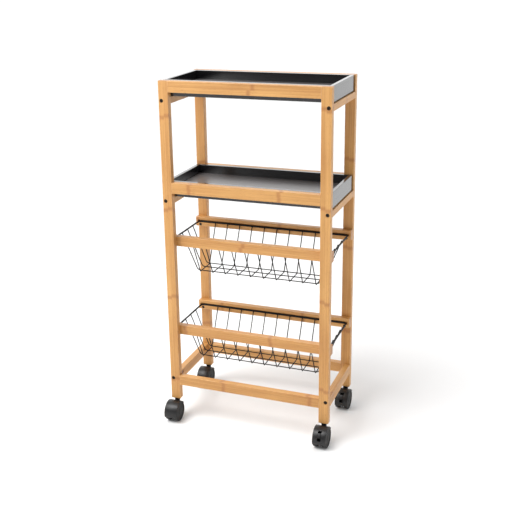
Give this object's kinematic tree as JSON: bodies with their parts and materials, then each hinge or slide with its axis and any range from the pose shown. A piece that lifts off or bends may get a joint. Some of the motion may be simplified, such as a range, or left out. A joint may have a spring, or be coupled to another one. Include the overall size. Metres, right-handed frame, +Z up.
{
  "type": "rolling utility cart",
  "caption": "Tall narrow bamboo rolling cart with glossy black trays above and black wire baskets below, on small swivelling casters.",
  "frame": {"origin": "on the floor, below the middle of the whole cart's box with its casters trailing forwards", "axes": "+X to the cart's right side seen from the front, +Y from the front to the back, +Z up"},
  "size_m": [0.431, 0.2621, 0.878],
  "materials": {
    "bamboo": "satin clear lacquer over laminated bamboo strips",
    "black_board": "high-gloss black laminate",
    "black_wire": "satin black powder coat",
    "steel": "zinc-plated steel",
    "caster_black": "moulded black nylon with a soft sheen",
    "tread": "dark grey tyre-grade rubber with a matt tread",
    "dowel_wood": "plain beech"
  },
  "bodies": {
    "cart": {"leg_front_left": "bamboo", "leg_front_right": "bamboo", "leg_back_left": "bamboo", "leg_back_right": "bamboo", "top_tray_front_rail": "bamboo", "top_tray_back_rail": "bamboo", "top_tray_left_rail": "bamboo", "top_tray_right_rail": "bamboo", "top_tray_left_end": "black_board", "top_tray_right_end": "black_board", "top_tray_front_board": "black_board", "top_tray_back_board": "black_board", "top_tray_floor": "black_board", "mid_tray_front_rail": "bamboo", "mid_tray_back_rail": "bamboo", "mid_tray_left_rail": "bamboo", "mid_tray_right_rail": "bamboo", "mid_tray_left_end": "black_board", "mid_tray_right_end": "black_board", "mid_tray_front_board": "black_board", "mid_tray_back_board": "black_board", "mid_tray_floor": "black_board", "upper_basket_front_rail": "bamboo", "upper_basket_back_rail": "bamboo", "upper_basket_rim": "black_wire", "upper_basket_cross_wires": "black_wire", "upper_basket_long_wires": "black_wire", "lower_basket_front_rail": "bamboo", "lower_basket_back_rail": "bamboo", "lower_basket_rim": "black_wire", "lower_basket_cross_wires": "black_wire", "lower_basket_long_wires": "black_wire", "base_front_rail": "bamboo", "base_back_rail": "bamboo", "base_left_rail": "bamboo", "base_right_rail": "bamboo", "frame_bolts": "steel", "barrel_nuts": "steel", "rail_dowels": "dowel_wood", "basket_rail_screws": "steel", "caster_stems": "steel", "caster_sleeves": "caster_black"},
    "caster_front_left_swivel": {"caster_front_left_hood": "caster_black", "caster_front_left_axle": "steel"},
    "caster_front_left_left_wheel": {"caster_front_left_left_wheel": "tread"},
    "caster_front_left_right_wheel": {"caster_front_left_right_wheel": "tread"},
    "caster_front_right_swivel": {"caster_front_right_hood": "caster_black", "caster_front_right_axle": "steel"},
    "caster_front_right_left_wheel": {"caster_front_right_left_wheel": "tread"},
    "caster_front_right_right_wheel": {"caster_front_right_right_wheel": "tread"},
    "caster_front_right_brake": {"caster_front_right_brake_lever": "caster_black"},
    "caster_back_left_swivel": {"caster_back_left_hood": "caster_black", "caster_back_left_axle": "steel"},
    "caster_back_left_left_wheel": {"caster_back_left_left_wheel": "tread"},
    "caster_back_left_right_wheel": {"caster_back_left_right_wheel": "tread"},
    "caster_back_right_swivel": {"caster_back_right_hood": "caster_black", "caster_back_right_axle": "steel"},
    "caster_back_right_left_wheel": {"caster_back_right_left_wheel": "tread"},
    "caster_back_right_right_wheel": {"caster_back_right_right_wheel": "tread"},
    "caster_back_right_brake": {"caster_back_right_brake_lever": "caster_black"}
  },
  "joints": [
    {"name": "caster_front_left_swivel", "type": "hinge", "parent": "cart", "child": "caster_front_left_swivel", "pos_m": [-0.1985, -0.08395, 0.05], "axis": [0, 0, 1], "continuous": true},
    {"name": "caster_front_left_left_spin", "type": "hinge", "parent": "caster_front_left_swivel", "child": "caster_front_left_left_wheel", "pos_m": [-0.1985, -0.10395, 0.025], "axis": [1, 0, 0], "continuous": true},
    {"name": "caster_front_left_right_spin", "type": "hinge", "parent": "caster_front_left_swivel", "child": "caster_front_left_right_wheel", "pos_m": [-0.1985, -0.10395, 0.025], "axis": [1, 0, 0], "continuous": true},
    {"name": "caster_front_right_swivel", "type": "hinge", "parent": "cart", "child": "caster_front_right_swivel", "pos_m": [0.1985, -0.08395, 0.05], "axis": [0, 0, 1], "continuous": true},
    {"name": "caster_front_right_left_spin", "type": "hinge", "parent": "caster_front_right_swivel", "child": "caster_front_right_left_wheel", "pos_m": [0.1985, -0.10395, 0.025], "axis": [1, 0, 0], "continuous": true},
    {"name": "caster_front_right_right_spin", "type": "hinge", "parent": "caster_front_right_swivel", "child": "caster_front_right_right_wheel", "pos_m": [0.1985, -0.10395, 0.025], "axis": [1, 0, 0], "continuous": true},
    {"name": "caster_front_right_brake", "type": "hinge", "parent": "caster_front_right_swivel", "child": "caster_front_right_brake", "pos_m": [0.1985, -0.12004, 0.0385], "axis": [1, 0, 0], "range_deg": [0, 15]},
    {"name": "caster_back_left_swivel", "type": "hinge", "parent": "cart", "child": "caster_back_left_swivel", "pos_m": [-0.1985, 0.12305, 0.05], "axis": [0, 0, 1], "continuous": true},
    {"name": "caster_back_left_left_spin", "type": "hinge", "parent": "caster_back_left_swivel", "child": "caster_back_left_left_wheel", "pos_m": [-0.1985, 0.10305, 0.025], "axis": [1, 0, 0], "continuous": true},
    {"name": "caster_back_left_right_spin", "type": "hinge", "parent": "caster_back_left_swivel", "child": "caster_back_left_right_wheel", "pos_m": [-0.1985, 0.10305, 0.025], "axis": [1, 0, 0], "continuous": true},
    {"name": "caster_back_right_swivel", "type": "hinge", "parent": "cart", "child": "caster_back_right_swivel", "pos_m": [0.1985, 0.12305, 0.05], "axis": [0, 0, 1], "continuous": true},
    {"name": "caster_back_right_left_spin", "type": "hinge", "parent": "caster_back_right_swivel", "child": "caster_back_right_left_wheel", "pos_m": [0.1985, 0.10305, 0.025], "axis": [1, 0, 0], "continuous": true},
    {"name": "caster_back_right_right_spin", "type": "hinge", "parent": "caster_back_right_swivel", "child": "caster_back_right_right_wheel", "pos_m": [0.1985, 0.10305, 0.025], "axis": [1, 0, 0], "continuous": true},
    {"name": "caster_back_right_brake", "type": "hinge", "parent": "caster_back_right_swivel", "child": "caster_back_right_brake", "pos_m": [0.1985, 0.08696, 0.0385], "axis": [1, 0, 0], "range_deg": [0, 15]}
  ]
}
